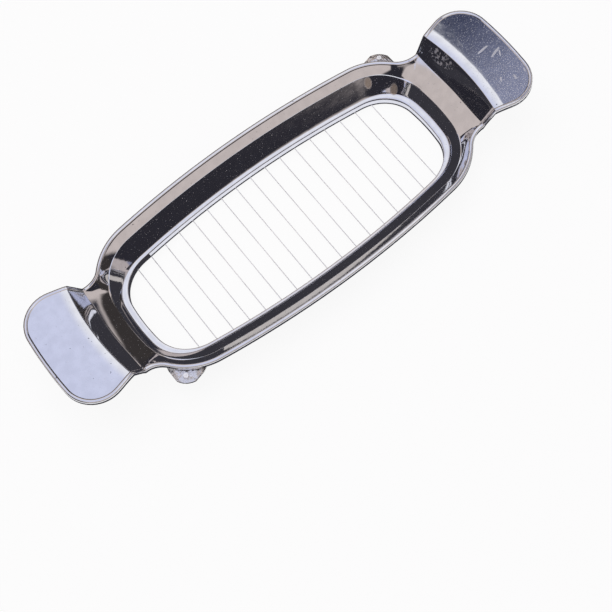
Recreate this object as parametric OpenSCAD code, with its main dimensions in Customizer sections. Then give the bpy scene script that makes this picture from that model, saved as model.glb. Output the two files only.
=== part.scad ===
// Hand wire slicer for boiled eggs and soft food.
// A stamped sheet frame with two raised handles carries one fine wire, laced to and fro through
// a collar round its opening and held at two diagonal corners by anchor lugs.
// Origin: middle of the opening, at the height of the collar's lower edge. +X runs along the
// slicer, +Y across it, +Z up. Lengths are in millimetres.

/* [Opening] */
// Half length of the opening, along X
opening_half_length = 65.4; // [62:0.1:72]
// Half width of the opening at its middle, along Y
opening_half_width = 24.9; // [23:0.1:28]
// Radius of the gently bowed long sides
side_radius = 390; // [330:5:480]
// Radius of the bowed short ends
end_radius = 73; // [66:1:84]
// Radius of the opening's corners
corner_radius = 15; // [13:0.5:17]

/* [Sheet and rim] */
// Thickness of the stamped sheet
sheet = 0.8; // [0.6:0.05:1]
// Height of the flat lip above the collar's lower edge
lip_height = 4; // [3.4:0.1:4.6]
// Width of the flat lip, from the collar's inner face to the foot of the wall
lip_width = 1.9; // [1.7:0.05:2.4]
// Width of the steep inner wall in plan
wall_run = 4.9; // [4.4:0.1:5.6]
// Height of the steep inner wall
wall_rise = 6.5; // [5.6:0.1:7.4]
// Width of the flange in plan
flange_run = 3.1; // [2.8:0.1:3.8]
// Height of the flange
flange_rise = 3.8; // [3.2:0.1:4.4]
// Flat land on top of the rim
rim_land = 0.5; // [0.3:0.05:0.8]
// Outer radius of the rolled rim edge
roll_radius = 1; // [0.9:0.05:1.3]
// Drop of the turned-down edge below the rim's top
skirt_depth = 2.1; // [1.8:0.1:2.8]

/* [Handles] */
// Distance from the opening's end to the crest where a handle starts to rise
crest_reach = 13.4; // [12.6:0.1:14.6]
// Length of the riser in plan
riser_run = 5.7; // [5.2:0.1:6.6]
// Height of the riser
riser_rise = 8.8; // [8:0.1:9.6]
// Length of the rounded shoulder above the riser, in plan
shoulder_run = 4.4; // [3.8:0.1:5]
// Height gained along the shoulder
shoulder_rise = 0.5; // [0.3:0.05:0.9]
// How far the shoulder's middle bulges off its chord
shoulder_bulge = 0.1; // [0.05:0.05:0.2]
// Height gained along the handle's flat, from the shoulder to its end
handle_rise = 0.3; // [0.1:0.1:0.6]
// Distance from the opening's end to the handle's outer edge
handle_reach = 40; // [38:0.5:46]
// Half width of the neck between rim and handle
neck_half_width = 20.3; // [19:0.1:21.5]
// Radius of the neck's fillets
neck_radius = 9; // [7.5:0.25:10.5]
// Half width of the handle at its widest
handle_half_width = 23.6; // [23:0.1:25.5]
// Radius of the handle's outer corners
handle_corner_radius = 12.5; // [11:0.25:14]
// Radius of the handle's gently bowed end
handle_end_radius = 150; // [120:5:220]

/* [Wire] */
// Number of wire runs across the opening
run_count = 17; // [13:2:17]
// Spacing of the runs
run_pitch = 7; // [6.6:0.1:7.1]
// Diameter of the wire
wire_diameter = 0.3; // [0.3:0.05:0.5]
// Height of the runs above the collar's lower edge
wire_height = 1; // [0.8:0.05:1.4]
// Diameter of the lacing holes in the collar
hole_diameter = 0.9; // [0.75:0.05:1.1]
// Gap between the wire's outer bends and the collar
bend_gap = 0.02; // [0.01:0.01:0.05]

/* [Anchor lugs] */
// Thickness of the lug's sheet
lug_sheet = 1; // [0.8:0.05:1.2]
// Angle of a lug round its corner, from the X axis
lug_angle = 53; // [50:1:56]
// Angle of the lug's welded leg, to each side of its middle
leg_half_angle = 19; // [15:1:21]
// Drop of the ear's upper face below the rim's top
ear_drop = 2.9; // [2.6:0.1:3.4]
// Distance that the ear sticks out past the rim's edge
ear_reach = 4.6; // [4.2:0.1:5]
// Width of the ear at the rim's edge
ear_base_width = 13; // [11:0.5:14]
// Width of the ear at its tip, before rounding
ear_tip_width = 5.5; // [4.5:0.1:6]
// Radius of the ear's bowed tip
ear_tip_radius = 7.4; // [7.2:0.1:9]
// Distance from the rim's edge to the wire's hole in the ear
eye_reach = 2.2; // [1.8:0.1:2.8]
// Diameter of the wire's hole in the ear
eye_diameter = 0.8; // [0.7:0.05:1]
// Diameter of the crimped ferrule on the wire's end
ferrule_diameter = 1.8; // [1.6:0.1:2.4]
// Height of the ferrule
ferrule_height = 1.4; // [1.2:0.1:2]
// Length of bare wire above the ferrule
wire_stub = 0.5; // [0.3:0.1:1]

/* [Hidden] */
RUN_NODES = [for (i = [1:run_count]) str("wire_run_", i < 10 ? "0" : "", i)];

$fn = 96;
// Finer, for the handle's long end arc
end_facets = 360;
// Round wire and its holes
wire_facets = 24;
hole_facets = 16;
// Long enough to pass through everything it cuts
through = 100;
tiny = 0.01;
// Steps of the rolled edge's quarter circle, and of each kind of arc round the opening
roll_steps = 4;
end_steps = 4;
neck_steps = 8;
corner_steps = 8;
side_steps = 14;
// Bevel where the collar turns into the lip
lip_bevel = 0.6;
// Where the leg of a lug starts along the wall, as a share of the wall's length
leg_start = 0.3;
// How far a lug's strip is swept to each side of its middle, before it is trimmed
lug_sweep = 45;
// How far the handle's side view runs past its plan
overrun = 1;

// Where two circles of radius rp round p and rq round q meet, to the left of the line p to q
function meet(p, rp, q, rq) =
    let (d = norm(q - p), a = (d * d + rp * rp - rq * rq) / (2 * d), h = sqrt(rp * rp - a * a),
         u = (q - p) / d)
    p + a * u + h * [-u[1], u[0]];
// Direction of angle a in the plan
function heading(a) = [cos(a), sin(a)];
function bearing(p, q) = atan2(q[1] - p[1], q[0] - p[0]);
function between(p, q, share) = p + share * (q - p);

// The opening's outline is three kinds of tangent arc: two long sides, two ends, four corners
side_centre = [0, opening_half_width - side_radius];
end_centre = [opening_half_length - end_radius, 0];
corner_centre = meet(end_centre, end_radius - corner_radius, side_centre, side_radius - corner_radius);
end_turn = bearing(end_centre, corner_centre);
side_turn = bearing(side_centre, corner_centre);

// Half width at x of the outline that runs at a distance d outside the opening
function half_width(x, d) =
    abs(x) < corner_centre[0] + (corner_radius + d) * cos(side_turn)
    ? side_centre[1] + sqrt(pow(side_radius + d, 2) - x * x)
    : corner_centre[1] + sqrt(pow(corner_radius + d, 2) - pow(abs(x) - corner_centre[0], 2));

// Unit normal to the right of a step from p to q
function right_of(p, q) = let (u = (q - p) / norm(q - p)) [u[1], -u[0]];
// A path moved t to its right, with mitred corners
function shifted(path, t) = [
    for (i = [0:len(path) - 1])
        let (a = right_of(path[max(i - 1, 0)], path[max(i, 1)]),
             b = right_of(path[min(i, len(path) - 2)], path[min(i + 1, len(path) - 1)]))
        path[i] + t * (a + b) / (1 + a * b)
];
function reversed(path) = [for (i = [len(path) - 1:-1:0]) path[i]];

// Cross-section of the bowl, upper face: [distance outside the opening, height]
rim_height = lip_height + wall_rise + flange_rise;
land_start = lip_width + wall_run + flange_run;
land_end = land_start + rim_land;
rim_reach = land_end + roll_radius;
bowl_path = [
    [0, 0],
    [0, lip_height - lip_bevel],
    [lip_bevel, lip_height],
    [lip_width, lip_height],
    [lip_width + wall_run, lip_height + wall_rise],
    [land_start, rim_height],
    [land_end, rim_height]
];
bowl_under = shifted(bowl_path, sheet);
// The rim's edge is rolled down round the bowl, and runs level where a handle joins it
rolled_path = concat(bowl_path, [
    for (i = [1:roll_steps])
        [land_end, rim_height - roll_radius] + roll_radius * heading(90 - 90 * i / roll_steps),
    [rim_reach, rim_height - skirt_depth]
]);
level_path = concat(bowl_path, [
    for (i = [1:roll_steps + 1]) [land_end + roll_radius * i / (roll_steps + 1), rim_height]
]);
function section(path, t) = concat(path, reversed(shifted(path, t)));

// Side view of a handle, upper face: [x, height]
crest_x = opening_half_length + crest_reach;
handle_end_x = opening_half_length + handle_reach;
riser_top = [crest_x + riser_run, rim_height + riser_rise];
shoulder_end = riser_top + [shoulder_run, shoulder_rise];
shoulder_middle = between(riser_top, shoulder_end, 0.5) - shoulder_bulge * right_of(riser_top, shoulder_end);
handle_path = [
    [corner_centre[0], rim_height],
    [crest_x, rim_height],
    riser_top,
    shoulder_middle,
    shoulder_end,
    [handle_end_x + overrun, shoulder_end[1] + handle_rise]
];

// Plan of a handle: centres of its arcs
neck_centre = [
    corner_centre[0] + sqrt(pow(corner_radius + rim_reach + neck_radius, 2)
                            - pow(neck_half_width + neck_radius - corner_centre[1], 2)),
    neck_half_width + neck_radius
];
neck_turn = bearing(corner_centre, neck_centre);
handle_end_centre = [handle_end_x - handle_end_radius, 0];
handle_corner_y = handle_half_width - handle_corner_radius;
handle_corner_centre = [
    handle_end_centre[0] + sqrt(pow(handle_end_radius - handle_corner_radius, 2) - pow(handle_corner_y, 2)),
    handle_corner_y
];
handle_end_turn = bearing(handle_end_centre, handle_corner_centre);
// The handle's side is the straight line that runs under the neck's fillet and over the corner
side_line_turn = bearing(neck_centre, handle_corner_centre)
    - acos((neck_radius + handle_corner_radius) / norm(handle_corner_centre - neck_centre));

// Half a turn of the outline, anticlockwise: [centre, radius, first angle, last angle, steps]
left_corner_centre = [-corner_centre[0], corner_centre[1]];
rear_arcs = [
    [end_centre, end_radius, -end_turn, end_turn, end_steps],
    [corner_centre, corner_radius, end_turn, neck_turn, neck_steps],
    [corner_centre, corner_radius, neck_turn, side_turn, corner_steps],
    [side_centre, side_radius, side_turn, 180 - side_turn, side_steps],
    [left_corner_centre, corner_radius, 180 - side_turn, 180 - neck_turn, corner_steps],
    [left_corner_centre, corner_radius, 180 - neck_turn, 180 - end_turn, neck_steps]
];
outline_arcs = concat(rear_arcs, [
    for (arc = rear_arcs) [-arc[0], arc[1], arc[2] + 180, arc[3] + 180, arc[4]]
]);
function arc_angles(arc) = [for (i = [0:arc[4] - 1]) arc[2] + (arc[3] - arc[2]) * i / arc[4]];
// A section's point [distance outside the opening, height] at angle a of an arc
function station_point(arc, a, p) = let (q = arc[0] + (arc[1] + p[0]) * heading(a)) [q[0], q[1], p[1]];
// A handle joins the rim wherever the rim's edge lies beyond the foot of the neck's fillet
neck_foot_x = corner_centre[0] + (corner_radius + rim_reach) * cos(neck_turn);
function joins_handle(arc, a) = abs(station_point(arc, a, [rim_reach, 0])[0]) > neck_foot_x - tiny;

// The wire
first_x = -(run_count - 1) / 2 * run_pitch;
wire_radius = wire_diameter / 2;
// Where a tail turns up behind the collar
tail_bend = 0.8;
function run_x(i) = first_x + i * run_pitch;
// How far a bend between runs i and i + 1 stands outside the collar's outer face
function bend_reach(i) =
    let (a = half_width(run_x(i), sheet), b = half_width(run_x(i + 1), sheet),
         m = half_width((run_x(i) + run_x(i + 1)) / 2, sheet))
    wire_radius + bend_gap + max(m - (a + b) / 2, 0);

// The right lug's place
ear_height = rim_height - ear_drop;
lug_radius = corner_radius + rim_reach;
eye = corner_centre + (lug_radius + eye_reach) * heading(lug_angle);

// Sweeps a section, drawn as [distance outside the opening, height], along one arc
module sweep_arc(centre, radius, start, stop) {
    translate([centre[0], centre[1], 0])
        rotate([0, 0, start])
            rotate_extrude(angle = stop - start)
                translate([radius, 0]) children();
}

module mirrored(axis) {
    children();
    mirror(axis) children();
}

// A straight wire between two points
module rod(p, q, d) {
    v = q - p;
    translate(p)
        rotate([0, acos(v[2] / norm(v)), atan2(v[1], v[0])])
            cylinder(d = d, h = norm(v), $fn = wire_facets);
}

// Collar, lip, wall, flange and rim, all round the opening: one section at each station
module bowl() {
    rings = [
        for (arc = outline_arcs, a = arc_angles(arc))
            let (path = joins_handle(arc, a) ? level_path : rolled_path)
            [for (p = section(path, sheet)) station_point(arc, a, p)]
    ];
    count = len(rings);
    size = len(rings[0]);
    polyhedron(
        points = [for (ring = rings, p = ring) p],
        faces = [
            for (i = [0:count - 1], j = [0:size - 1])
                let (a = i * size, b = (i + 1) % count * size, next_j = (j + 1) % size)
                each [[a + j, b + j, b + next_j], [a + j, b + next_j, a + next_j]]
        ],
        convexity = 6
    );
}

// Plan of the right handle and its neck, drawn in by an inset
module handle_plan(inset) {
    corner = handle_corner_radius - inset;
    neck = neck_radius + inset;
    rim_point = corner_centre + (corner_radius + rim_reach - inset) * heading(neck_turn);
    neck_point = neck_centre + neck * heading(side_line_turn);
    side_point = handle_corner_centre - corner * heading(side_line_turn);
    end_point = handle_corner_centre + 2 * handle_corner_radius * heading(handle_end_turn);
    difference() {
        mirrored([0, 1]) {
            polygon([
                [corner_centre[0], 0], corner_centre, rim_point, neck_centre,
                neck_point, side_point, handle_corner_centre, [handle_corner_centre[0], 0]
            ]);
            translate(handle_corner_centre) circle(corner);
            intersection() {
                translate(handle_end_centre) circle(handle_end_radius - inset, $fn = end_facets);
                polygon([[corner_centre[0], 0], handle_corner_centre, end_point, [end_point[0], 0]]);
            }
        }
        mirrored([0, 1]) translate(neck_centre) circle(neck);
    }
}

// Everything inside the middle of the level rim, which the handle stays out of
module rim_core() {
    linear_extrude(through) polygon([
        for (arc = outline_arcs, a = arc_angles(arc))
            arc[0] + (arc[1] + land_end + roll_radius / 2) * heading(a)
    ]);
}

// The right handle: a bent plate with a turned-down edge
module handle() {
    difference() {
        union() {
            intersection() {
                rotate([90, 0, 0]) linear_extrude(through, center = true)
                    polygon(section(handle_path, sheet));
                linear_extrude(through) handle_plan(0);
            }
            intersection() {
                rotate([90, 0, 0]) linear_extrude(through, center = true)
                    polygon(concat(handle_path, [for (p = reversed(handle_path)) p - [0, skirt_depth]]));
                linear_extrude(through) difference() {
                    handle_plan(0);
                    handle_plan(sheet);
                }
            }
        }
        rim_core();
    }
}

module lacing_holes() {
    for (i = [0:run_count - 1])
        translate([run_x(i), 0, wire_height])
            rotate([90, 0, 0]) cylinder(d = hole_diameter, h = through, center = true, $fn = hole_facets);
}

module frame() {
    color("silver") difference() {
        union() {
            bowl();
            mirrored([1, 0, 0]) handle();
        }
        lacing_holes();
    }
}

// Leg against the back of the wall and ear under the rim, at the rear right corner: a bent strip
// swept round the corner and trimmed to the lug's plan
module anchor_lug_right() {
    foot = between(bowl_under[3], bowl_under[4], leg_start);
    flange_slope = flange_run / flange_rise;
    root = [bowl_under[4][0] + (ear_height - bowl_under[4][1]) * flange_slope, ear_height];
    strip = [foot, bowl_under[4], root, [rim_reach + ear_reach + lug_sheet, ear_height]];
    color("silver") difference() {
        intersection() {
            sweep_arc(corner_centre, corner_radius, lug_angle - lug_sweep, lug_angle + lug_sweep)
                polygon(section(strip, lug_sheet));
            translate([corner_centre[0], corner_centre[1], 0])
                rotate([0, 0, lug_angle]) linear_extrude(through) lug_plan(corner_radius + root[0]);
        }
        translate([eye[0], eye[1], 0]) cylinder(d = eye_diameter, h = through, $fn = wire_facets);
    }
}

// Plan of a lug: a wide leg out to the ear's root, then the tapered ear with its rounded tip
module lug_plan(root_radius) {
    tip = lug_radius + ear_reach;
    edge = [
        (root_radius + lug_sheet) * heading(leg_half_angle),
        [lug_radius, ear_base_width / 2],
        [tip, ear_tip_width / 2]
    ];
    intersection() {
        polygon(concat([[0, 0]], [for (p = edge) [p[0], -p[1]]], reversed(edge)));
        union() {
            translate([tip - ear_tip_radius, 0]) circle(ear_tip_radius);
            translate([0, -ear_base_width]) square([tip - ear_tip_radius, 2 * ear_base_width]);
        }
    }
}

module wire_ferrule_right() {
    color("gainsboro") translate([eye[0], eye[1], ear_height]) difference() {
        cylinder(d = ferrule_diameter, h = ferrule_height, $fn = wire_facets);
        cylinder(d = wire_diameter, h = 2 * ferrule_height, center = true, $fn = wire_facets);
    }
}

// From the last run's end behind the collar up through the ear and its ferrule
module wire_tail_right() {
    x = run_x(run_count - 1);
    face = half_width(x, sheet);
    start = [x, face, wire_height];
    turn = start + [0, tail_bend, 0];
    under_ear = [eye[0], eye[1], ear_height - lug_sheet - wire_diameter];
    end = [eye[0], eye[1], ear_height + ferrule_height + wire_stub];
    color("gainsboro") {
        rod(start, turn, wire_diameter);
        rod(turn - [0, wire_radius, 0], under_ear, wire_diameter);
        rod(under_ear - [0, 0, wire_radius], end, wire_diameter);
    }
}

// A wire laid along a level path, with mitred corners
module level_wire(path, height) {
    angles = [for (k = [0:wire_facets - 1]) 360 * k / wire_facets];
    lines = [
        for (a = angles, p = shifted(path, wire_radius * cos(a))) [p[0], p[1], height + wire_radius * sin(a)]
    ];
    size = len(path);
    polyhedron(
        points = lines,
        faces = concat(
            [[for (k = [wire_facets - 1:-1:0]) k * size]],
            [[for (k = [0:wire_facets - 1]) k * size + size - 1]],
            [
                for (k = [0:wire_facets - 1], j = [0:size - 2])
                    let (a = k * size + j, b = (k + 1) % wire_facets * size + j)
                    [a, b, b + 1, a + 1]
            ]
        )
    );
}

// The wire's turns behind the collar, at the rear (1) or the front (-1)
module wire_bends(side) {
    for (i = [side > 0 ? 0 : 1:2:run_count - 2]) {
        p = [run_x(i), side * half_width(run_x(i), sheet)];
        q = [run_x(i + 1), side * half_width(run_x(i + 1), sheet)];
        out = [0, side * bend_reach(i)];
        color("gainsboro") level_wire([p, p + out, q + out, q], wire_height);
    }
}

// One straight run across the opening, through both walls of the collar
module wire_run(i) {
    x = run_x(i);
    y = half_width(x, sheet);
    color("gainsboro") rod([x, -y, wire_height], [x, y, wire_height], wire_diameter);
}

frame();
anchor_lug_right();
rotate([0, 0, 180]) anchor_lug_right();  // anchor_lug_left
wire_ferrule_right();
rotate([0, 0, 180]) wire_ferrule_right();  // wire_ferrule_left
wire_tail_right();
rotate([0, 0, 180]) wire_tail_right();  // wire_tail_left
wire_bends(1);  // wire_bends_rear
wire_bends(-1);  // wire_bends_front
for (i = [0:run_count - 1])
    wire_run(i);
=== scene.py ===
import bmesh
import bpy
import numpy as np
from mathutils import Matrix, Vector


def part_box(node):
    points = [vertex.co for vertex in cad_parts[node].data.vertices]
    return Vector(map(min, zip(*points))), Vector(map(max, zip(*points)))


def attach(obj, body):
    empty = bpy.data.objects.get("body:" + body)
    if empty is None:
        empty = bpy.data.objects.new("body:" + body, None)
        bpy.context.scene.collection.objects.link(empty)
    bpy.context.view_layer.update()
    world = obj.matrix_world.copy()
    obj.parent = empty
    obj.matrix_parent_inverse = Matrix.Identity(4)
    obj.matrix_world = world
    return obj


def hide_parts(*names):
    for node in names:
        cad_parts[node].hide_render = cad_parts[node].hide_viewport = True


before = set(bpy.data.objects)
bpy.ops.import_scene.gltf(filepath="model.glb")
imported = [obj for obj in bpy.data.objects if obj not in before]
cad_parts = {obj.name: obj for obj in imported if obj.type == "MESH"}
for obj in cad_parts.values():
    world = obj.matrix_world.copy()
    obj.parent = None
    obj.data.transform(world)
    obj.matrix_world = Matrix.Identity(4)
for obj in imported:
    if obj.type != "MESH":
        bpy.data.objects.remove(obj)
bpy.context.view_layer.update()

# ---- Camera ----
# A long lens looks down at the slicer from high up at its near left, and is turned a little about
# its own axis. The place is in millimetres, and the two directions are unit vectors.
MM = 0.001
IMAGE_WIDTH = 612
FOCAL_PIXELS = 1327.455
SENSOR_WIDTH = 36.0
NEAREST = 0.01
CAMERA_PLACE = Vector((-104.6, -187.5, 458.5)) * MM
CAMERA_RIGHT = Vector((0.7931, -0.6068, -0.0529))
CAMERA_BACK = Vector((-0.1813, -0.3182, 0.9305))


def camera_turn(right, back):
    """Rotation whose X axis is the picture's right and whose Z axis points back from the view."""
    back = back.normalized()
    right = (right - back * right.dot(back)).normalized()
    up = back.cross(right)
    return Matrix((right, up, back)).transposed().to_4x4()


camera_data = bpy.data.cameras.new("camera")
camera_data.sensor_width = SENSOR_WIDTH
camera_data.lens = FOCAL_PIXELS / IMAGE_WIDTH * SENSOR_WIDTH
camera_data.clip_start = NEAREST
camera = bpy.data.objects.new("camera", camera_data)
camera.matrix_world = Matrix.Translation(CAMERA_PLACE) @ camera_turn(CAMERA_RIGHT, CAMERA_BACK)
bpy.context.scene.collection.objects.link(camera)
bpy.context.scene.camera = camera


# ---- Frame ----
# One sheet of steel, pressed to a bowl round the opening and to a raised grip at each end. Its
# edge is rolled down all round, its collar is pierced for the wire, and it is plated with bright
# chrome. It is worked out in millimetres for one quarter, which is mirrored across X and Y.
SHEET = 0.8
END_REACH, END_RADIUS = 65.4, 73.0
SIDE_REACH, SIDE_RADIUS = 24.9, 390.0
CORNER_RADIUS = 15.0
RIM_REACH = 11.4
ROLL = 0.9
SKIRT = 1.3
NECK_RADIUS = 9.0
NECK_HALF_WIDTH = 20.3
GRIP_HALF_WIDTH = 23.6
GRIP_CORNER_RADIUS = 12.5
GRIP_END_RADIUS = 150.0
GRIP_END = 105.4
CREST_BOW = 100.0


def heading(angle):
    """Unit vectors in the plan at the given angles: cosine and sine."""
    return np.stack([np.cos(angle), np.sin(angle)], -1)


def turn_of(vector):
    """Angle of a vector in the plan, from the X axis."""
    return np.arctan2(vector[1], vector[0])


def meeting(p, radius_p, q, radius_q):
    """Where two circles meet, to the left of the line from the first centre to the second.

    The point lies (d² + p² - q²) / 2d along that line, with d the distance between the centres,
    and as far to its left as the first radius leaves.
    """
    span = np.linalg.norm(q - p)
    along = (span**2 + radius_p**2 - radius_q**2) / (2 * span)
    u = (q - p) / span
    return p + along * u + np.sqrt(radius_p**2 - along**2) * np.array([-u[1], u[0]])


def smooth(t):
    """Step from 0 to 1 that is level at both ends: 3t² - 2t³."""
    t = np.clip(t, 0, 1)
    return t * t * (3 - 2 * t)


side_centre = np.array([0, SIDE_REACH - SIDE_RADIUS])
end_centre = np.array([END_REACH - END_RADIUS, 0])
corner_centre = meeting(
    end_centre, END_RADIUS - CORNER_RADIUS, side_centre, SIDE_RADIUS - CORNER_RADIUS
)
end_turn = turn_of(corner_centre - end_centre)
side_turn = turn_of(corner_centre - side_centre)
neck_centre = np.array([0, NECK_HALF_WIDTH + NECK_RADIUS])
neck_centre[0] = corner_centre[0] + np.sqrt(
    (CORNER_RADIUS + RIM_REACH + NECK_RADIUS) ** 2 - (neck_centre[1] - corner_centre[1]) ** 2
)
neck_turn = turn_of(neck_centre - corner_centre)
grip_centre = np.array([GRIP_END - GRIP_END_RADIUS, 0])
grip_corner = np.array([0, GRIP_HALF_WIDTH - GRIP_CORNER_RADIUS])
grip_corner[0] = grip_centre[0] + np.sqrt(
    (GRIP_END_RADIUS - GRIP_CORNER_RADIUS) ** 2 - grip_corner[1] ** 2
)
grip_turn = turn_of(grip_corner - grip_centre)
to_corner = grip_corner - neck_centre
line_turn = turn_of(to_corner) - np.arccos(
    (NECK_RADIUS + GRIP_CORNER_RADIUS) / np.linalg.norm(to_corner)
)


def outline(t):
    """Outer edge of a quarter of the sheet, and its outward normal, at stations t from 0 to 6.

    Each whole step of t is one tangent stretch: grip end, grip corner, straight side, hollow neck,
    rim corner and long side. A point of an arc is its centre plus its radius times the unit vector
    at an angle that runs evenly along the arc. A point of the straight side runs evenly along it.
    """
    step = np.clip(t.astype(int), 0, 5)
    share = (t - step)[:, None]
    side_out = line_turn + np.pi
    starts = np.array([0, grip_turn, 0, line_turn, neck_turn, side_turn])
    stops = np.array([grip_turn, side_out, 0, neck_turn - np.pi, side_turn, np.pi / 2])
    centres = np.stack(
        [grip_centre, grip_corner, grip_corner, neck_centre, corner_centre, side_centre]
    )
    rim_radii = [CORNER_RADIUS + RIM_REACH, SIDE_RADIUS + RIM_REACH]
    radii = np.array([GRIP_END_RADIUS, GRIP_CORNER_RADIUS, 0, NECK_RADIUS, *rim_radii])
    turn = heading(starts[step] + (stops - starts)[step] * share[:, 0])
    points = centres[step] + radii[step, None] * turn
    normals = np.where((step == 3)[:, None], -turn, turn)
    side = heading(side_out)
    line_start = grip_corner + GRIP_CORNER_RADIUS * side
    line_stop = neck_centre - NECK_RADIUS * side
    straight = (step == 2)[:, None]
    points = np.where(straight, line_start + (line_stop - line_start) * share, points)
    normals = np.where(straight, side, normals)
    return points, normals


def fillet(before, corner, after, radius, count):
    """Points of the round that joins two straight lines at a corner, one set for each station.

    The round's centre lies on the bisector, radius / sin(half angle) from the corner, and a point
    is the centre plus a spoke that swings evenly from one tangent point to the other.
    """
    a, b = before - corner, after - corner
    a = a / np.linalg.norm(a, axis=-1, keepdims=True)
    b = b / np.linalg.norm(b, axis=-1, keepdims=True)
    half = np.arccos(np.clip((a * b).sum(-1), -1, 1))[..., None] / 2
    middle = (a + b) / np.linalg.norm(a + b, axis=-1, keepdims=True)
    centre = corner + middle * radius / np.sin(half)
    start, stop = (corner + s * radius / np.tan(half) - centre for s in (a, b))
    share = np.linspace(0, 1, count).reshape((-1,) + (1,) * corner.ndim)
    turn = np.pi - 2 * half
    arc = (np.sin((1 - share) * turn) * start + np.sin(share * turn) * stop) / np.sin(turn)
    return centre + arc


# Side view of a grip, upper face: flange, narrow land, riser, tight bend and gently crowned top.
# Each round is given as the corner it is on, its radius and its number of points.
GRIP_LINE = np.array(
    [(72.2, 10.0), (78.9, 14.42), (79.2, 14.58), (84.6, 23.1), (86.85, 23.46), (106.0, 23.55)]
)
FOOT_ROUNDS = ((1, 0.3, 4), (2, 0.2, 4))
TOP_ROUNDS = ((3, 0.4, 8), (4, 22.0, 10))
RISER_SHARES = np.array([[0.25], [0.5], [0.75]])
CREST_FOOT = 78.7
CREST_LIFT = 1.3
foot, top = (
    np.concatenate([fillet(*GRIP_LINE[i - 1 : i + 2], r, n) for i, r, n in rounds])
    for rounds in (FOOT_ROUNDS, TOP_ROUNDS)
)
start = (CREST_FOOT, np.interp(CREST_FOOT, *GRIP_LINE.T))
between = foot[-1] + (top[0] - foot[-1]) * RISER_SHARES
profile = np.concatenate([[start], foot, between, top])


def bowed(points):
    """Distance along the slicer of the bowed line, like the crest, that each point lies on.

    It is x + y² / 2r, with r the radius of the bow.
    """
    return points[..., 0] + points[..., 1] ** 2 / (2 * CREST_BOW)


# At the sides the riser's foot sits higher, moved up along the riser's own slope
climb = (GRIP_LINE[3] - GRIP_LINE[2]) / (GRIP_LINE[3] - GRIP_LINE[2])[1]
riser_fade = 1 - np.clip((profile[:, 1] - profile[0, 1]) / (GRIP_LINE[3, 1] - profile[0, 1]), 0, 1)
side_profile = profile + CREST_LIFT * riser_fade[:, None] * climb


def grip_height(reach):
    """Height of the upper face at a bowed distance along the slicer, at a grip's side."""
    line = np.concatenate([side_profile, GRIP_LINE[-1:]])
    return np.interp(reach, line[:, 0], line[:, 1])


# Stations of the quarter: across the grip's end, down its side, round the neck, and round the
# rim. The riser's stations are where the roll's foot crosses the side view's points.
ACROSS, FLAT_ROWS, NECK_STEPS, CORNER_STEPS, SIDE_STEPS = 16, 12, 10, 18, 16
DENSE = 4000
RIM_TILT, GRIP_TILT = np.radians(72), np.radians(55)
GRIP_INSET = ROLL * (1 + np.sin(GRIP_TILT))
half_across = ACROSS // 2
corner_share = (np.pi / 4 - grip_turn) / (line_turn + np.pi - grip_turn)
dense = np.linspace(1 + corner_share, 4, DENSE)
dense_points, dense_normals = outline(dense)
dense_reach = bowed(dense_points - GRIP_INSET * dense_normals)
riser_t = np.interp(-side_profile[::-1, 0], -dense_reach, dense)
end_t = np.append(
    np.linspace(0, 1, half_across + 1)[:-1], np.linspace(1, 1 + corner_share, half_across + 1)
)
flat_t = np.linspace(1 + corner_share, riser_t[0], FLAT_ROWS + 1)
neck_t = np.linspace(riser_t[-1], 4, NECK_STEPS + 1)
rim_t = np.append(
    np.linspace(4, 5, CORNER_STEPS + 1)[:-1], np.linspace(5, 6, SIDE_STEPS + 1)
)
edge_t = np.concatenate([end_t[:-1], flat_t[:-1], riser_t[:-1], neck_t[:-1], rim_t])
edge, edge_normal = outline(edge_t)
first_neck = len(edge_t) - len(rim_t) - NECK_STEPS

# Bowl stations: the same count across the grip's root, then one for each edge station
crest_end = (edge - GRIP_INSET * edge_normal)[first_neck]
crest_turn = turn_of(crest_end - corner_centre)
turns = np.concatenate(
    [
        np.linspace(0, end_turn, half_across + 1)[:-1],
        np.linspace(end_turn, crest_turn, half_across + 1)[:-1],
        np.linspace(crest_turn, neck_turn, NECK_STEPS + 1)[:-1],
        np.linspace(neck_turn, side_turn, CORNER_STEPS + 1)[:-1],
        np.linspace(side_turn, np.pi / 2, SIDE_STEPS + 1),
    ]
)
index = np.arange(len(turns))
on_end, on_side = (index < half_across)[:, None], (index >= len(turns) - SIDE_STEPS - 1)[:, None]
centre = np.where(on_end, end_centre, np.where(on_side, side_centre, corner_centre))
radius = np.where(on_end, END_RADIUS, np.where(on_side, SIDE_RADIUS, CORNER_RADIUS))
normal = heading(turns)
base = centre + radius * normal


def along_sides_to_ends(side, end, start, stop):
    """A value at each station that goes smoothly from the side's to the end's between two turns."""
    return side + (end - side) * smooth((turns - start) / (stop - start))


# Reach out from the opening's edge, and height, of each bend in the bowl's section
LIP_HEIGHT, LIP_RISE = 4.0, 0.15
CREASE_REACH = 6.85
opening_ease = along_sides_to_ends(0.0, 1.2, side_turn, end_turn)
lip_width = along_sides_to_ends(1.2, 3.9, side_turn, end_turn)
crease_height = along_sides_to_ends(11.0, 10.0, 1.05, 0.35)
ledge_width = along_sides_to_ends(0.04, 0.3, 1.3, 0.8)
ledge_slope = along_sides_to_ends(0.1, 0.5, 0.6, 0.2)
flange_crown = along_sides_to_ends(0.0, 0.13, side_turn, end_turn)

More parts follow.
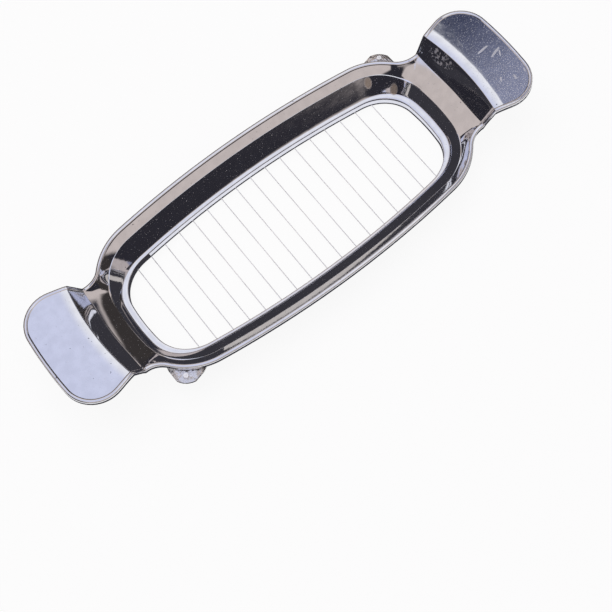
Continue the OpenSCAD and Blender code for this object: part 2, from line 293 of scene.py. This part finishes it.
# The flange's upper edge: the crest across a grip's root, and the roll's foot elsewhere. The
# reach to the crest's bowed line is found in passes, each with the bow where the last one ended.
RIM_ROLL_HEIGHT = 13.5
PASSES = 8
STEEPEST = 0.3
DESCENT_STEPS = NECK_STEPS + 3
reach = np.full(len(turns), CREST_FOOT - END_REACH)
for _ in range(PASSES):
    far = base + reach[:, None] * normal
    bow = far[:, 1] ** 2 / (2 * CREST_BOW)
    reach = (CREST_FOOT - bow - base[:, 0]) / np.maximum(normal[:, 0], STEEPEST)
crest = base + reach[:, None] * normal
crest_share = crest[: ACROSS + 1, 1] / crest[ACROSS, 1]
lift = CREST_LIFT * crest_share**3
past_crest = np.arange(len(edge_t)) - first_neck
edge_tilt = GRIP_TILT + (RIM_TILT - GRIP_TILT) * smooth(past_crest / NECK_STEPS)
foot_inset = ROLL * (1 + np.sin(edge_tilt))
foot_plan = edge - foot_inset[:, None] * edge_normal
edge_height = grip_height(bowed(foot_plan)) - ROLL * np.cos(edge_tilt)
crest_roll = edge_height[first_neck]
descent = smooth(past_crest / DESCENT_STEPS)[first_neck:]
edge_height[first_neck:] = crest_roll + (RIM_ROLL_HEIGHT - crest_roll) * descent


def rolled(angle):
    """A line of points round the rolled edge, at an angle from the top of its quarter circle.

    Each is the edge moved in by r (1 - sin angle) and raised by r cos angle, with r the roll.
    """
    inset = ROLL * (1 - np.sin(angle))
    plan = edge - inset[:, None] * edge_normal
    return np.column_stack([plan, edge_height + ROLL * np.cos(angle)])


roll_foot = rolled(-edge_tilt)
crest_line = np.column_stack([crest[: ACROSS + 1], np.full(ACROSS + 1, profile[0, 1])])
crest_line[:, ::2] += lift[:, None] * climb
flange_edge = np.concatenate([crest_line[:-1], roll_foot[first_neck:]])

# Bowl: collar, lip, wall, ledge and flange, one section at each station
COLLAR_ROUND, LIP_ROUND = (0.4, 6), (0.5, 8)
COLLAR_SHARES, LIP_SHARES, WALL_SHARES = (0.3, 0.7), (0.5,), (0.1, 0.5, 0.97)
FLANGE_SHARES = (0.04, 0.2, 0.4, 0.6, 0.8, 0.97)
level = np.zeros_like(turns)
crease_plan = base + CREASE_REACH * normal
flange_run = np.linalg.norm(flange_edge[:, :2] - crease_plan, axis=1)
corners = [
    np.stack(pair, -1)
    for pair in (
        (opening_ease, level),
        (opening_ease, level + LIP_HEIGHT),
        (lip_width, level + LIP_HEIGHT + LIP_RISE),
        (level + CREASE_REACH, crease_height),
        (CREASE_REACH + ledge_width, crease_height + ledge_width * ledge_slope),
        (CREASE_REACH + flange_run, flange_edge[:, 2]),
    )
]
collar_round, lip_round = (
    fillet(*corners[i - 1 : i + 2], *size) for i, size in ((1, COLLAR_ROUND), (2, LIP_ROUND))
)


def strip(start, stop, shares, crown=0.0):
    """Lines of points between two lines, at shares s of the way, lifted by a crown.

    A point is start + s (stop - start), moved off that chord by 4 s (1 - s) times the crown.
    """
    share = np.array(shares).reshape(-1, 1, 1)
    chord = stop - start
    across = np.stack([-chord[:, 1], chord[:, 0]], -1) / np.linalg.norm(chord, axis=1)[:, None]
    return start + chord * share + across * np.reshape(crown, (-1, 1)) * 4 * share * (1 - share)


section = np.concatenate(
    [
        corners[0][None],
        strip(corners[0], collar_round[0], COLLAR_SHARES),
        collar_round,
        strip(collar_round[-1], lip_round[0], LIP_SHARES),
        lip_round,
        strip(lip_round[-1], corners[3], WALL_SHARES),
        np.stack([corners[3], corners[4]]),
        strip(corners[4], corners[5], FLANGE_SHARES, flange_crown),
        corners[5][None],
    ]
)
beyond = np.clip((section[..., :1] - CREASE_REACH) / flange_run[:, None], 0, 1)
plan = base + np.minimum(section[..., :1], CREASE_REACH) * normal
plan = plan + beyond * (flange_edge[:, :2] - crease_plan)
bowl = np.concatenate([plan, section[..., 1:]], -1)

# Grip: riser and shoulder along bowed lines, then the flat, blended between its four edges (the
# sum of the blends between opposite edges, less the blend of the four corners)
riser_side = roll_foot[first_neck - len(riser_t) + 1 : first_neck + 1][::-1]
riser_y = riser_side[:, 1, None] * crest_share
riser_x = profile[:, :1] - riser_y**2 / (2 * CREST_BOW)
riser = np.stack([riser_x, riser_y, np.broadcast_to(profile[:, 1:], riser_y.shape)], -1)
riser[..., ::2] += (riser_fade[:, None] * lift)[..., None] * climb
end_line = roll_foot[: ACROSS + 1, :2]
flat_side = roll_foot[ACROSS : ACROSS + FLAT_ROWS + 1, :2][::-1]
u, v = crest_share[None, :, None], np.linspace(0, 1, FLAT_ROWS + 1)[:, None, None]
root = riser[-1, :, :2]
axis = root[0] + (end_line[0] - root[0]) * v
flat_plan = (1 - v) * root + v * end_line + (1 - u) * axis + u * flat_side[:, None]
flat_plan -= (1 - u) * ((1 - v) * root[0] + v * end_line[0])
flat_plan -= u * ((1 - v) * root[-1] + v * end_line[-1])
flat = np.concatenate([flat_plan, grip_height(bowed(flat_plan))[..., None]], -1)

# Rolled edge, and the short skirt below it
ROLL_LINES, SKIRT_LINES = 11, 2
roll_share = np.linspace(0, 1, ROLL_LINES)[:, None]
roll = np.stack([rolled(a) for a in -edge_tilt * (1 - roll_share) + np.pi / 2 * roll_share])
drop = np.linspace(0, SKIRT, SKIRT_LINES + 1)[1:, None, None]
border = np.concatenate([roll, roll[-1] - np.array([0, 0, 1]) * drop])


def quarters(grids):
    """Points and faces of grids, each drawn four times: as it is and mirrored across X and Y."""
    points, faces, start = [], [], 0
    for grid in grids:
        rows, columns = grid.shape[:2]
        cells = (np.arange(rows - 1)[:, None] * columns + np.arange(columns - 1)).ravel()
        quad = cells[:, None] + np.array([0, 1, columns + 1, columns])
        for flip in ((1, 1), (-1, 1), (-1, -1), (1, -1)):
            points.append(grid.reshape(-1, 3) * np.array([*flip, 1]))
            faces.append(start + (quad if flip[0] * flip[1] > 0 else quad[:, ::-1]))
            start += rows * columns
    return np.concatenate(points), np.concatenate(faces)


def linked(name, mesh):
    """A new object of a mesh, in the scene."""
    made = bpy.data.objects.new(name, mesh)
    bpy.context.scene.collection.objects.link(made)
    return made


WELD = 1e-6
points, faces = quarters([bowl, riser, flat, border])
mesh = bpy.data.meshes.new("frame_sheet")
mesh.from_pydata((points * MM).tolist(), [], faces.tolist())
work = bmesh.new()
work.from_mesh(mesh)
bmesh.ops.remove_doubles(work, verts=work.verts, dist=WELD)
bmesh.ops.dissolve_degenerate(work, edges=work.edges, dist=WELD)
bmesh.ops.recalc_face_normals(work, faces=work.faces)
work.to_mesh(mesh)
work.free()
mesh.shade_smooth()
top_face = max(mesh.polygons, key=lambda face: face.center.z)
if top_face.normal.z < 0:
    mesh.flip_normals()
sheet = linked("frame_sheet", mesh)
solid = sheet.modifiers.new("thickness", "SOLIDIFY")
solid.thickness = SHEET * MM
solid.offset = -1
solid.use_quality_normals = True

# Lacing holes through both sides of the collar, one pair for each run of the wire
HOLE_RADIUS = 0.45
HOLE_SIDES = 16
DRILL_REACH = 40
RUN_PITCH = 7.0
RUN_HEIGHT = 1.0
SHARP_EDGE = np.radians(40)
run_nodes = sorted(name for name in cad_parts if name.startswith("wire_run_"))
run_x = (np.arange(len(run_nodes)) - (len(run_nodes) - 1) / 2) * RUN_PITCH
drill_turn = np.linspace(0, 2 * np.pi, HOLE_SIDES + 1)[:-1]
drill_ring = np.stack([np.cos(drill_turn), 0 * drill_turn, np.sin(drill_turn)], -1) * HOLE_RADIUS
drill_points, drill_faces = [], []
for i, x in enumerate(run_x):
    drill_points += [drill_ring + [x, y, RUN_HEIGHT] for y in (-DRILL_REACH, DRILL_REACH)]
    near = np.arange(HOLE_SIDES) + 2 * HOLE_SIDES * i
    far = near + HOLE_SIDES
    drill_faces += np.stack([near, np.roll(near, -1), np.roll(far, -1), far], -1).tolist()
    drill_faces += [near[::-1].tolist(), far.tolist()]
drill_mesh = bpy.data.meshes.new("drill")
drill_mesh.from_pydata((np.concatenate(drill_points) * MM).tolist(), [], drill_faces)
drill = linked("drill", drill_mesh)
holes = sheet.modifiers.new("holes", "BOOLEAN")
holes.operation = "DIFFERENCE"
holes.solver = "EXACT"
holes.object = drill
depsgraph = bpy.context.evaluated_depsgraph_get()
mesh = bpy.data.meshes.new_from_object(sheet.evaluated_get(depsgraph))
mesh.set_sharp_from_angle(angle=SHARP_EDGE)
sheet.modifiers.clear()
sheet.data = mesh
bpy.data.objects.remove(drill)


def linear(hex_colour):
    """Linear RGBA of an sRGB hex colour."""
    c = np.array([int(hex_colour[i : i + 2], 16) / 255 for i in (1, 3, 5)])
    c = np.where(c <= 0.04045, c / 12.92, ((c + 0.055) / 1.055) ** 2.4)
    return (*c, 1.0)


def material(name):
    """A new material with its node tree and its Principled shader."""
    made = bpy.data.materials.new(name)
    made.use_nodes = True
    tree = made.node_tree
    return made, tree, tree.nodes["Principled BSDF"]


def add(tree, kind, inputs, **settings):
    """Adds a node with its settings, and returns its outputs.

    Each input takes a value, a hex colour, or an output of another node, which is linked to it.
    """
    node = tree.nodes.new("ShaderNode" + kind)
    for name, value in settings.items():
        setattr(node, name, value)
    for socket, value in inputs.items():
        if isinstance(value, bpy.types.NodeSocket):
            tree.links.new(value, node.inputs[socket])
        else:
            node.inputs[socket].default_value = linear(value) if isinstance(value, str) else value
    return node.outputs


def within(tree, *limits):
    """Product of smooth steps, each 0 where its value is at the first limit and 1 at the second."""
    whole = None
    for value, low, high in limits:
        ends = {"Value": value, "From Min": low, "From Max": high}
        step = add(tree, "MapRange", ends, interpolation_type="SMOOTHSTEP")[0]
        pair = {0: whole, 1: step}
        whole = step if whole is None else add(tree, "Math", pair, operation="MULTIPLY")[0]
    return whole


def either(tree, *shares):
    """The largest of some shares, which is what any one of them covers."""
    most = shares[0]
    for share in shares[1:]:
        most = add(tree, "Math", {0: most, 1: share}, operation="MAXIMUM")[0]
    return most


def coats(tree, ground, *layers):
    """A ground colour under coats of (share, colour), each laid over what is below by its share."""
    for share, colour in layers:
        ground = add(tree, "Mix", {0: share, 6: ground, 7: colour}, data_type="RGBA")[2]
    return ground


def ellipse(tree, where, place, turn, size, soft=1.3):
    """1 inside an ellipse seen from above, in millimetres and degrees, fading outside it."""
    spot = {
        "Vector": where,
        "Location": (place[0] * MM, place[1] * MM, 0),
        "Rotation": (0, 0, np.radians(turn)),
        "Scale": (size[0] * MM, size[1] * MM, 1),
    }
    spot = add(tree, "Mapping", spot, vector_type="TEXTURE")[0]
    distance = add(tree, "VectorMath", {0: spot}, operation="LENGTH")["Value"]
    return within(tree, (distance, soft, 0.9))


# Chromium plate: a bright cool mirror over polished steel, a little wavy from the press. Wear
# shows as dull specks, densest toward the near end of the right grip, scratches and a smear
# there, faint stains, and two welds that show through the inner wall. The real specks are about
# 0.1 mm across; they are drawn four times as large, because finer ones would not show.
SPECKS_PER_MM, STAINS_PER_MM, SMEARS_PER_MM, SPOTS_PER_MM = 2.3, 0.26, 0.9, 0.8
WAVE_HEIGHT = 0.012
SPECKS, CROWD, NEAR_CROWD = (0.675, 0.72), 0.042, 0.07
POLISHED, DULL = 0.05, 0.5
# Where the specks begin to crowd, along X and along Y, in metres
GRIP_START, CROWD_START = (0.083, 0.090), (0.016, -0.020)
# Place, turn and half size of each scratch and of the smear, in millimetres and degrees
SCRATCHES = (
    ((95.5, 2.1), 6, (2.2, 0.38)),
    ((98.5, -1.7), 17, (2.3, 0.38)),
    ((99.6, -3.0), 60, (1.2, 0.26)),
    ((97.3, -14.5), 80, (1.0, 0.34)),
    ((92.5, -12.1), 60, (1.0, 0.32)),
    ((102.0, -14.4), 70, (0.8, 0.3)),
)
SMEAR = ((82.4, 10.3), 95, (5.2, 1.3))
WELDS = ((58.3, 25.0), (65.4, 17.7))
WELD_SIZE = (1.1, 1.1)
chrome, tree, shader = material("chrome_plate")
where = add(tree, "TexCoord", {})["Object"]
x, y, _ = add(tree, "SeparateXYZ", {0: where})
speck_noise, stain_noise, smear_noise, spot_noise, wave = (
    add(tree, "TexNoise", {"Vector": where, "Scale": per_mm / MM, "Detail": detail})[0]
    for per_mm, detail in (
        (SPECKS_PER_MM, 3.0),
        (STAINS_PER_MM, 4.0),
        (SMEARS_PER_MM, 4.0),
        (SPOTS_PER_MM, 2.0),
        (STAINS_PER_MM, 2.0),
    )
)
crowd = {0: within(tree, (y, *CROWD_START)), 1: NEAR_CROWD, 2: CROWD}
crowd = add(tree, "Math", crowd, operation="MULTIPLY_ADD")[0]
fine = {0: crowd, 1: within(tree, (x, *GRIP_START)), 2: speck_noise}
fine = add(tree, "Math", fine, operation="MULTIPLY_ADD")[0]
scratches = [ellipse(tree, where, *scratch) for scratch in SCRATCHES]
smear = {0: ellipse(tree, where, *SMEAR, soft=1.5), 1: within(tree, (smear_noise, 0.50, 0.60))}
smear = add(tree, "Math", smear, operation="MULTIPLY")[0]
welds = either(tree, *(ellipse(tree, where, place, 0, WELD_SIZE, soft=1.6) for place in WELDS))
worn = either(tree, within(tree, (fine, *SPECKS)), *scratches, smear, welds)
plate = coats(
    tree,
    "#E3E3E7",
    (within(tree, (stain_noise, 0.35, 0.68)), "#EBEBEF"),
    (within(tree, (spot_noise, 0.735, 0.76)), "#77777E"),
    (welds, "#C9BCAE"),
)
roughness = add(tree, "Math", {0: worn, 1: DULL, 2: POLISHED}, operation="MULTIPLY_ADD")[0]
waves = add(tree, "Bump", {"Height": wave, "Distance": WAVE_HEIGHT * MM})[0]
tree.links.new(plate, shader.inputs["Base Color"])
tree.links.new(roughness, shader.inputs["Roughness"])
tree.links.new(waves, shader.inputs["Normal"])
shader.inputs["Metallic"].default_value = 1
sheet.data.materials.append(chrome)

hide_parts("frame")
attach(sheet, "root")


# ---- Anchor lugs ----
# Two small tabs of plated sheet, each welded behind the wall at one of two opposite corners. The
# ears that stick out under the rim are dented from being bent, and their edges turn down a little.
EAR_TURN = 53
EYE_TO_ROOT = 2.2
FLAT_RADIUS = 2.6
TURN_DOWN = 0.11
DENTS_PER_MM = 0.42
BRIGHT, DENT_DULL = 0.1, 0.3
lug_steel, tree, shader = material("dented_plate")
where = add(tree, "TexCoord", {})["Object"]
quarter_turned = add(tree, "VectorMath", {0: where}, operation="ABSOLUTE")[0]
eye = np.mean(list(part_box("wire_ferrule_right")), axis=0)
ear_root = eye[:2] - EYE_TO_ROOT * MM * heading(np.radians(EAR_TURN))
spot = {"Vector": quarter_turned, "Location": (*ear_root, 0), "Scale": (MM, MM, 1)}
spot = add(tree, "Mapping", spot, vector_type="TEXTURE")[0]
distance = add(tree, "VectorMath", {0: spot}, operation="LENGTH")["Value"]
beyond_flat = add(tree, "Math", {0: distance, 1: FLAT_RADIUS}, operation="SUBTRACT")[0]
beyond_flat = add(tree, "Math", {0: beyond_flat, 1: 0.0}, operation="MAXIMUM")[0]
turned = add(tree, "Math", {0: beyond_flat, 1: beyond_flat}, operation="MULTIPLY")[0]
dents = {"Vector": where, "Scale": DENTS_PER_MM / MM, "Detail": 3.0}
dents = add(tree, "TexNoise", dents)[0]
height = add(tree, "Math", {0: turned, 1: -TURN_DOWN, 2: dents}, operation="MULTIPLY_ADD")[0]
relief = add(tree, "Bump", {"Height": height, "Distance": MM})[0]
roughness = add(tree, "Math", {0: dents, 1: DENT_DULL, 2: BRIGHT}, operation="MULTIPLY_ADD")[0]
tree.links.new(relief, shader.inputs["Normal"])
tree.links.new(roughness, shader.inputs["Roughness"])
shader.inputs["Base Color"].default_value = linear("#E2E0E0")
shader.inputs["Metallic"].default_value = 1
for name in ("anchor_lug_left", "anchor_lug_right"):
    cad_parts[name].data.materials.clear()
    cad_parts[name].data.materials.append(lug_steel)


# ---- Wire ----
# One length of thin drawn stainless wire, laced to and fro through the collar's holes, with a
# ferrule crimped on each end. Drawing leaves it paler and duller than the plate. The runs are too
# thin to show in the plate's reflections, and are left out of them.
DRAW_MARKS_PER_MM = 0.15
SATIN, DRAW_DULL = 0.3, 0.2
wire_steel, tree, shader = material("drawn_steel")
where = add(tree, "TexCoord", {})["Object"]
drawn = add(tree, "TexNoise", {"Vector": where, "Scale": DRAW_MARKS_PER_MM / MM, "Detail": 2.0})[0]
roughness = add(tree, "Math", {0: drawn, 1: DRAW_DULL, 2: SATIN}, operation="MULTIPLY_ADD")[0]
tree.links.new(roughness, shader.inputs["Roughness"])
shader.inputs["Base Color"].default_value = linear("#FBFAF9")
shader.inputs["Metallic"].default_value = 0.6
for name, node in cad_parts.items():
    if name.startswith("wire"):
        node.data.materials.clear()
        node.data.materials.append(wire_steel)
        node.visible_glossy = not name.startswith("wire_run")


# ---- Studio ----
# A pale floor and backdrop under one plain lamp. What the chrome mirrors is a wide cool softbox
# overhead, warm pale walls and a dark horizon, with glowing cards just above the floor that only
# the metal sees: dark far behind, painted shade of the floor in and round the slicer, and warm
# and pale painted light where the lamp falls through the opening.
scene = bpy.context.scene
scene.view_settings.view_transform = "Standard"
world = bpy.data.worlds.new("studio")
scene.world = world
world.use_nodes = True
sky = world.node_tree

# Each part of the surroundings fades in between two limits of the direction's X, Y and Z
side, depth, up = add(sky, "SeparateXYZ", {0: add(sky, "TexCoord", {})["Generated"]})
walls = coats(
    sky,
    "#2E2D34",
    (within(sky, (up, 0.26, 0.33)), "#D0C5C0"),
    (within(sky, (side, -0.76, -0.80), (depth, 0.26, 0.20)), "#2E2D34"),
    (within(sky, (side, 0.55, 0.62), (depth, 0.15, 0.22), (up, 0.38, 0.44)), "#3A3A42"),
    (within(sky, (side, 0.72, 0.80), (up, 0.41, 0.35)), "#3B3736"),
)
dusk = coats(sky, "#3F445B", (within(sky, (depth, 0.40, 0.33)), "#8B90AA"))
softbox = coats(
    sky,
    "#D8DDF5",
    (within(sky, (side, 0.0, 0.34)), "#FAFBFF"),
    (within(sky, (side, 0.345, 0.37)), dusk),
)
seen = add(sky, "LightPath", {})["Is Camera Ray"]
surroundings = coats(sky, walls, (within(sky, (up, 0.76, 0.80)), softbox), (seen, "#FCFCFC"))
sky.links.new(surroundings, sky.nodes["Background"].inputs["Color"])


def glow(piece, colour):
    """Makes a card shine evenly in the metal's reflections, and hides it from all else."""
    made, tree, shader = material(piece.name)
    tree.nodes.remove(shader)
    shine = add(tree, "Emission", {"Color": colour})[0]
    tree.links.new(shine, tree.nodes["Material Output"].inputs["Surface"])
    piece.data.materials.append(made)
    piece.visible_camera = piece.visible_shadow = piece.visible_diffuse = False


def card(name, corners, height):
    """A level card at a height, from its outline's corners in the plan, all in millimetres."""
    mesh = bpy.data.meshes.new(name)
    points = np.column_stack([corners, np.full(len(corners), height)]) * MM
    mesh.from_pydata(points.tolist(), [], [list(range(len(corners)))])
    made = linked(name, mesh)
    return made


def oblong(left, near, right, far):
    """Corners of a rectangle."""
    return [(left, near), (right, near), (right, far), (left, far)]


def ribbon(name, first, second):
    """A band of faces between two lines of as many points each, in millimetres."""
    count = len(first)
    step = np.arange(count - 1)
    faces = np.stack([step, step + 1, step + 1 + count, step + count], -1)
    mesh = bpy.data.meshes.new(name)
    mesh.from_pydata((np.concatenate([first, second]) * MM).tolist(), [], faces.tolist())
    made = linked(name, mesh)
    return made


def all_round(quarter):
    """The closed loop of a line drawn from the right end to the middle of the far side."""
    far_half = np.concatenate([quarter, quarter[-2::-1] * [-1, 1]])
    return np.concatenate([far_half, far_half[-2::-1] * [1, -1]])


# Floor, and the glowing cards a fraction of a millimetre above it that only the metal sees: painted
# shade inside the collar, where the slicer shades the floor, a painted shadow in a ring round the
# slicer for its outer edge, and dark far behind it; warm painted light under the middle of the
# opening, where the lamp falls through
FLOOR_HEIGHT, DARK_HEIGHT, WARM_HEIGHT, STRIP_HEIGHT = -0.4, -0.3, -0.2, -0.1
FLOOR_REACH = 1500
# DARK paints shade on the floor (and the dark far behind); WARM and PALE paint light on it
DARK, WARM, PALE = "#3A393F", "#C8C2BE", "#F4F5FC"
RING_REACH = (0.5, 16.0)
floor = card(
    "floor", oblong(-FLOOR_REACH, -FLOOR_REACH, FLOOR_REACH, FLOOR_REACH), FLOOR_HEIGHT
)
# Painted shade: the floor inside the opening, where the slicer shades it, as the metal mirrors it
glow(card("painted_shade_in_collar", all_round(bowl[0, :, :2] + SHEET * normal)[:-1], DARK_HEIGHT), DARK)
# Painted shadow: a dark ring where the slicer's edge shades the floor, for the rolled edge to
# mirror
ring = [all_round(edge + reach_out * edge_normal) for reach_out in RING_REACH]
ring = [np.column_stack([line, np.full(len(line), DARK_HEIGHT)]) for line in ring]
glow(ribbon("painted_shadow_round_edge", *ring), DARK)
glow(card("far_card", oblong(-FLOOR_REACH, 42, 200, FLOOR_REACH), DARK_HEIGHT), DARK)
# Painted light: the floor under the middle of the opening, lit by the lamp through it, as the metal
# mirrors it
glow(card("painted_light_under_opening", oblong(-44, -7.5, 46, 4), WARM_HEIGHT), WARM)

# Painted light: a pale strip below the collar along the far side and the right end, where the
# collar mirrors the lit floor just past the painted contact shadow at its foot, and a low dark flag
# of painted shade that keeps its left part out of the left riser
STRIP_START, FLAG_START, FLAG_STOP = -52.0, -58.0, -37.0
STRIP_REACH, FLAG_REACH, FLAG_HEIGHT = (2.2, 0.55), 2.3, 5.5


def inside_collar(reach_in, start):
    """A line on the floor inside the collar, from the near right corner round to the far side."""
    collar_line = np.column_stack([bowl[0, :, :2] - reach_in * normal, level + STRIP_HEIGHT])
    far_left = (collar_line * [-1, 1, 1])[bowl[0, :, 0] < -start]
    near = (collar_line * [1, -1, 1])[-SIDE_STEPS - 1 : 0 : -1]
    return np.concatenate([near, collar_line, far_left[::-1]])


glow(ribbon("painted_light_by_collar", *(inside_collar(r, STRIP_START) for r in STRIP_REACH)), PALE)
low = inside_collar(FLAG_REACH, FLAG_START)
low = low[low[:, 0] < FLAG_STOP]
glow(ribbon("painted_shade_flag", low, low + [0, 0, FLAG_HEIGHT]), DARK)

# Matt paper: the eye and the metal see it nearly white, and it keeps the slicer's soft shadow
WHITENESS = 0.9
paper, tree, shader = material("floor_paper")
shader.inputs["Base Color"].default_value = linear("#F4F2F0")
shader.inputs["Roughness"].default_value = 0.9
rays = add(tree, "LightPath", {})
direct = either(tree, *(rays[f"Is {kind} Ray"] for kind in ("Camera", "Glossy", "Transmission")))
direct = add(tree, "Math", {0: direct, 1: WHITENESS}, operation="MULTIPLY")[0]
white = add(tree, "Emission", {"Strength": 1.0})[0]
mixed = add(tree, "MixShader", {0: direct, 1: shader.outputs[0], 2: white})[0]
tree.links.new(mixed, tree.nodes["Material Output"].inputs["Surface"])
floor.data.materials.append(paper)

# One lamp, above and a little behind the slicer and tipped toward it, in metres and radians
LAMP_SIZE, LAMP_WATTS = 1.2, 6
LAMP_PLACE, LAMP_TIP = (0, 0.3, 1.2), -0.25
lamp_data = bpy.data.lights.new("key", "AREA")
lamp_data.shape = "RECTANGLE"
lamp_data.size = lamp_data.size_y = LAMP_SIZE
lamp_data.energy = LAMP_WATTS
lamp = bpy.data.objects.new("key", lamp_data)
lamp.location = LAMP_PLACE
lamp.rotation_euler = (LAMP_TIP, 0, 0)
lamp.visible_glossy = False
scene.collection.objects.link(lamp)
